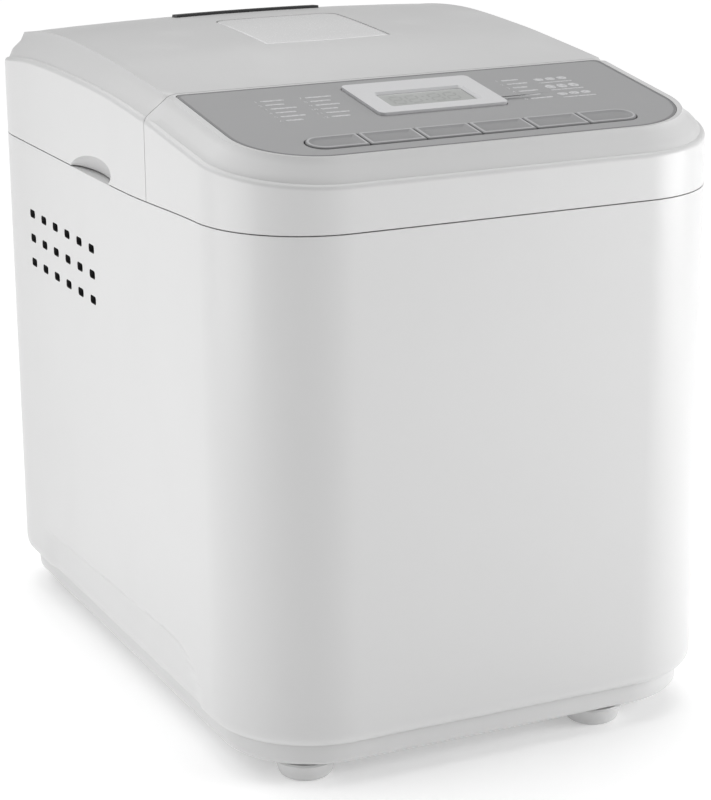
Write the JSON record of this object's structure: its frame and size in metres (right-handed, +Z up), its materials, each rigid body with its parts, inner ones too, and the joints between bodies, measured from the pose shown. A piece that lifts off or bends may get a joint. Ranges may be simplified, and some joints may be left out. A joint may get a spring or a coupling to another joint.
{
  "type": "bread machine",
  "caption": "Countertop bread machine: upright rounded casing, sloping key panel with display, hinged crowned lid with window, lift-handle pan, belt-driven kneading paddle.",
  "frame": {"origin": "centre of the bounding box's footprint, at the height the feet stand on", "axes": "+Z up, -Y towards the user (control panel side), +X to the user's right"},
  "size_m": [0.225, 0.335, 0.2821],
  "materials": {
    "white_plastic": "satin white moulding",
    "panel_grey": "fine matt grey overlay",
    "key_grey": "fine matt grey key",
    "bezel_silver": "satin light silver",
    "display_glass": "clear display window over a grey-green display",
    "frosted_window": "frosted viewing window",
    "dark_plastic": "matt dark moulding",
    "deck_plastic": "matt light grey heat-resistant moulding",
    "bare_steel": "plain steel",
    "sheet_steel": "coated sheet steel",
    "cast_aluminium": "cast or pressed aluminium",
    "nonstick_coating": "dark non-stick coating",
    "element_sheath": "heat-darkened sheath",
    "copper_winding": "enamelled copper wire",
    "bronze": "sintered bronze",
    "circuit_board": "green circuit board",
    "belt_rubber": "matt rubber",
    "fan_plastic": "natural nylon"
  },
  "bodies": {
    "base": {"body_shell": "white_plastic", "base_tray": "white_plastic", "control_cover": "white_plastic", "control_panel": "panel_grey", "display_bezel": "bezel_silver", "display_window": "display_glass", "display_module": "dark_plastic", "control_board": "circuit_board", "top_frame": "deck_plastic", "baking_chamber": "sheet_steel", "heat_shield": "sheet_steel", "heating_element": "element_sheath", "temperature_probe": "bare_steel", "pan_socket": "cast_aluminium", "bread_pan": "nonstick_coating", "pan_base": "cast_aluminium", "pan_bush": "bronze", "chassis_plate": "sheet_steel", "output_bearing": "bronze", "drive_belt": "belt_rubber", "motor_stator": "sheet_steel", "motor_winding_lower": "copper_winding", "motor_winding_upper": "copper_winding", "motor_bracket_lower": "cast_aluminium", "motor_bracket_upper": "cast_aluminium", "run_capacitor": "cast_aluminium", "power_board": "circuit_board", "cord_gland": "dark_plastic", "foot_front_left": "white_plastic", "base_screw_front_left": "bare_steel", "foot_front_right": "white_plastic", "base_screw_front_right": "bare_steel", "foot_rear_left": "white_plastic", "base_screw_rear_left": "bare_steel", "foot_rear_right": "white_plastic", "base_screw_rear_right": "bare_steel", "hinge_bracket_left": "white_plastic", "hinge_pin_left": "bare_steel", "hinge_bracket_right": "white_plastic", "hinge_pin_right": "bare_steel"},
    "lid": {"lid_shell": "white_plastic", "lid_window": "frosted_window", "steam_vent": "dark_plastic", "lid_liner": "cast_aluminium", "inner_glass": "display_glass"},
    "pan_handle": {"pan_handle": "bare_steel"},
    "kneader": {"pan_shaft": "bare_steel", "kneading_paddle": "nonstick_coating"},
    "drive": {"output_shaft": "bare_steel", "driven_pulley": "dark_plastic"},
    "motor": {"motor_rotor": "bare_steel", "motor_pulley": "cast_aluminium", "cooling_fan": "fan_plastic"},
    "button_1": {"button_1": "key_grey"},
    "button_2": {"button_2": "key_grey"},
    "button_3": {"button_3": "key_grey"},
    "button_4": {"button_4": "key_grey"},
    "button_5": {"button_5": "key_grey"},
    "button_6": {"button_6": "key_grey"}
  },
  "joints": [
    {"name": "lid_hinge", "type": "hinge", "parent": "base", "child": "lid", "pos_m": [0, 0.1629, 0.226], "axis": [-1, 0, 0], "range_deg": [0, 85]},
    {"name": "pan_handle_pivot", "type": "hinge", "parent": "base", "child": "pan_handle", "pos_m": [0, 0.043, 0.178], "axis": [-1, 0, 0], "range_deg": [0, 180]},
    {"name": "motor_spin", "type": "hinge", "parent": "base", "child": "motor", "pos_m": [-0.022, -0.105, 0.075], "axis": [0, 0, 1], "continuous": true},
    {"name": "drive_spin", "type": "hinge", "parent": "base", "child": "drive", "pos_m": [0, 0.043, 0.02], "axis": [0, 0, 1], "continuous": true},
    {"name": "kneader_spin", "type": "hinge", "parent": "base", "child": "kneader", "pos_m": [0, 0.043, 0.05], "axis": [0, 0, 1], "continuous": true},
    {"name": "button_1_press", "type": "slide", "parent": "base", "child": "button_1", "axis": [0, 0.1409, -0.99], "range_m": [0, 0.001], "stiffness_N_per_m": 500, "springref_m": -0.001},
    {"name": "button_2_press", "type": "slide", "parent": "base", "child": "button_2", "axis": [0, 0.1409, -0.99], "range_m": [0, 0.001], "stiffness_N_per_m": 500, "springref_m": -0.001},
    {"name": "button_3_press", "type": "slide", "parent": "base", "child": "button_3", "axis": [0, 0.1409, -0.99], "range_m": [0, 0.001], "stiffness_N_per_m": 500, "springref_m": -0.001},
    {"name": "button_4_press", "type": "slide", "parent": "base", "child": "button_4", "axis": [0, 0.1409, -0.99], "range_m": [0, 0.001], "stiffness_N_per_m": 500, "springref_m": -0.001},
    {"name": "button_5_press", "type": "slide", "parent": "base", "child": "button_5", "axis": [0, 0.1409, -0.99], "range_m": [0, 0.001], "stiffness_N_per_m": 500, "springref_m": -0.001},
    {"name": "button_6_press", "type": "slide", "parent": "base", "child": "button_6", "axis": [0, 0.1409, -0.99], "range_m": [0, 0.001], "stiffness_N_per_m": 500, "springref_m": -0.001}
  ],
  "couplings": [
    {"joint": "drive_spin", "follows": "motor_spin", "ratio": 0.1579},
    {"joint": "kneader_spin", "follows": "motor_spin", "ratio": 0.1579}
  ]
}
